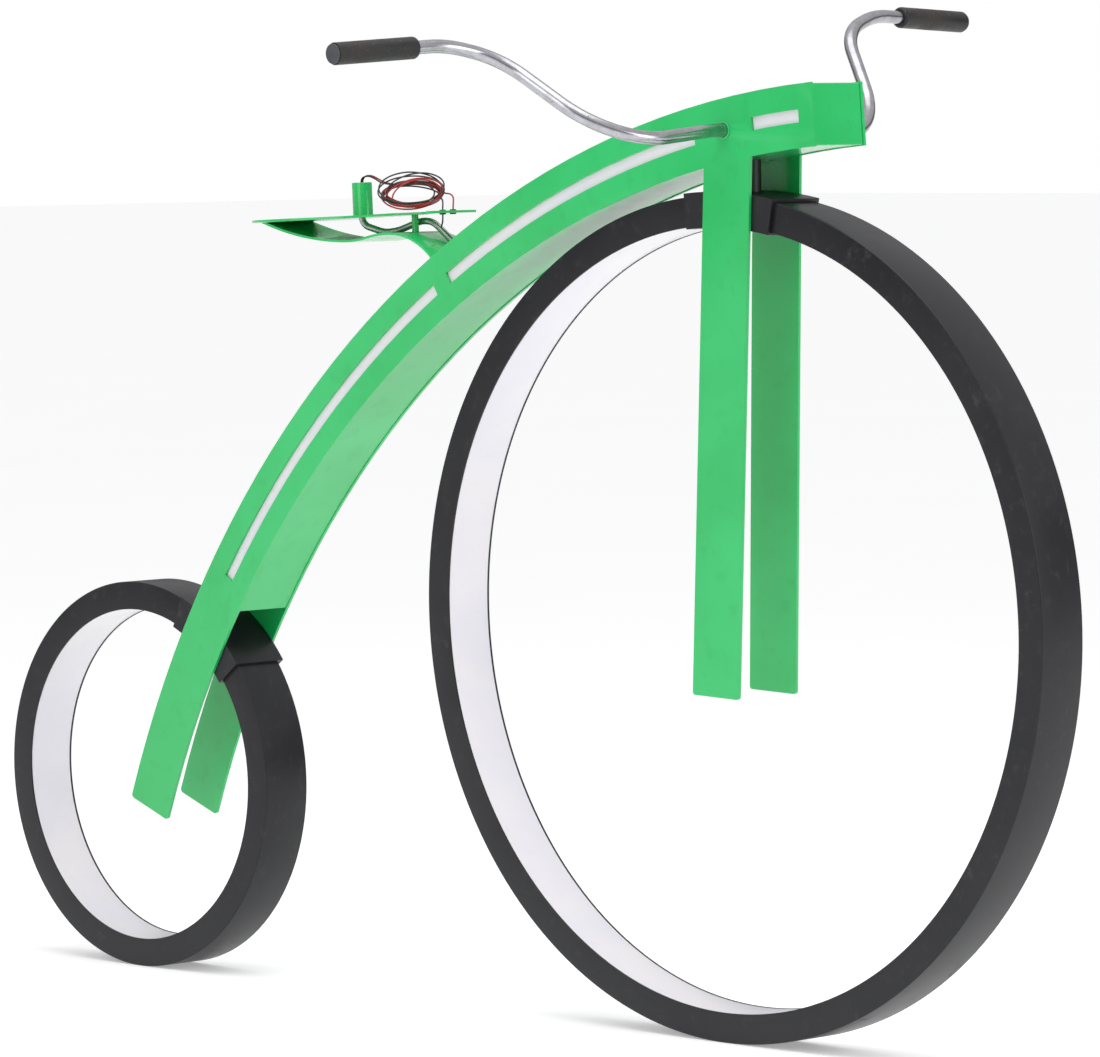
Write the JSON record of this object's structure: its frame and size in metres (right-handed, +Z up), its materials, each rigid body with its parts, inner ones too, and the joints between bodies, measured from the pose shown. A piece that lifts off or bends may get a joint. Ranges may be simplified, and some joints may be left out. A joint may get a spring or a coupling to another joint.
{
  "type": "decorative ring lamp in the shape of a penny-farthing cycle",
  "caption": "Free-standing ornamental lamp shaped like a penny-farthing: ring-light wheels, a curved box backbone with light slots, fork legs, sprung saddle plate and handlebar.",
  "frame": {"origin": "on the floor, midway between the front of the large ring and the back of the small ring, on the middle plane", "axes": "+X the way the machine faces, towards the large ring; +Y its left side; +Z up"},
  "size_m": [1.803, 1.0376, 1.2233],
  "materials": {
    "green_paint": "gloss",
    "black_satin": "satin",
    "opal_diffuser": "opal white, light passes through",
    "led_tape": "white tape with yellow phosphor",
    "screw_steel": "zinc plated",
    "polished_steel": "polished",
    "grip_rubber": "matte",
    "raw_steel": "bare, hidden inside",
    "spine_aluminium": "mill finish",
    "black_plastic": "moulded",
    "grey_plastic": "moulded",
    "red_lead": "PVC insulation",
    "black_lead": "PVC insulation"
  },
  "bodies": {
    "frame": {"bar_collar_left": "green_paint", "bar_collar_right": "green_paint", "bar_set_screws": "screw_steel", "bar_socket_block": "raw_steel", "belly_skin": "green_paint", "body_led_tapes": "led_tape", "body_spreaders": "raw_steel", "conduit": "polished_steel", "conduit_gland": "grey_plastic", "front_feed_wire": "black_lead", "front_ring_channel": "black_satin", "front_ring_diffuser": "opal_diffuser", "front_ring_led_tapes": "led_tape", "front_ring_sleeve": "black_satin", "front_sleeve_screws": "screw_steel", "head_cap": "green_paint", "head_riser": "black_satin", "lead_black_drop": "black_lead", "lead_black_rise": "black_lead", "lead_hank": "red_lead", "lead_red_drop": "red_lead", "lead_red_rise": "red_lead", "led_bracket_head": "spine_aluminium", "led_spine_front": "spine_aluminium", "led_spine_rear": "spine_aluminium", "rear_feed_wire": "black_lead", "rear_ring_channel": "black_satin", "rear_ring_diffuser": "opal_diffuser", "rear_ring_led_tapes": "led_tape", "rear_ring_sleeve": "black_satin", "rear_sleeve_screws": "screw_steel", "saddle_grommets": "black_plastic", "saddle_plate": "green_paint", "saddle_spring": "green_paint", "saddle_stud": "green_paint", "saddle_stud_screws": "screw_steel", "seat_tube": "green_paint", "seat_tube_bush": "black_plastic", "side_plate_left": "green_paint", "side_plate_right": "green_paint", "slot_diffusers_left": "opal_diffuser", "slot_diffusers_right": "opal_diffuser", "spring_anchor": "green_paint", "spring_anchor_screws": "screw_steel", "top_skin_front": "green_paint", "top_skin_rear": "green_paint"},
    "right_handlebar": {"handlebar_right": "polished_steel", "grip_right": "grip_rubber", "grip_plug_right": "grip_rubber"},
    "left_handlebar": {"handlebar_left": "polished_steel", "grip_left": "grip_rubber", "grip_plug_left": "grip_rubber"}
  },
  "joints": [
    {"name": "right_bar_turn", "type": "hinge", "parent": "frame", "child": "right_handlebar", "pos_m": [0.42258, -0.044, 1.07575], "axis": [0, 1, 0], "range_deg": [-25, 25]},
    {"name": "left_bar_turn", "type": "hinge", "parent": "frame", "child": "left_handlebar", "pos_m": [0.42258, 0.044, 1.07575], "axis": [0, 1, 0], "range_deg": [-25, 25]}
  ]
}
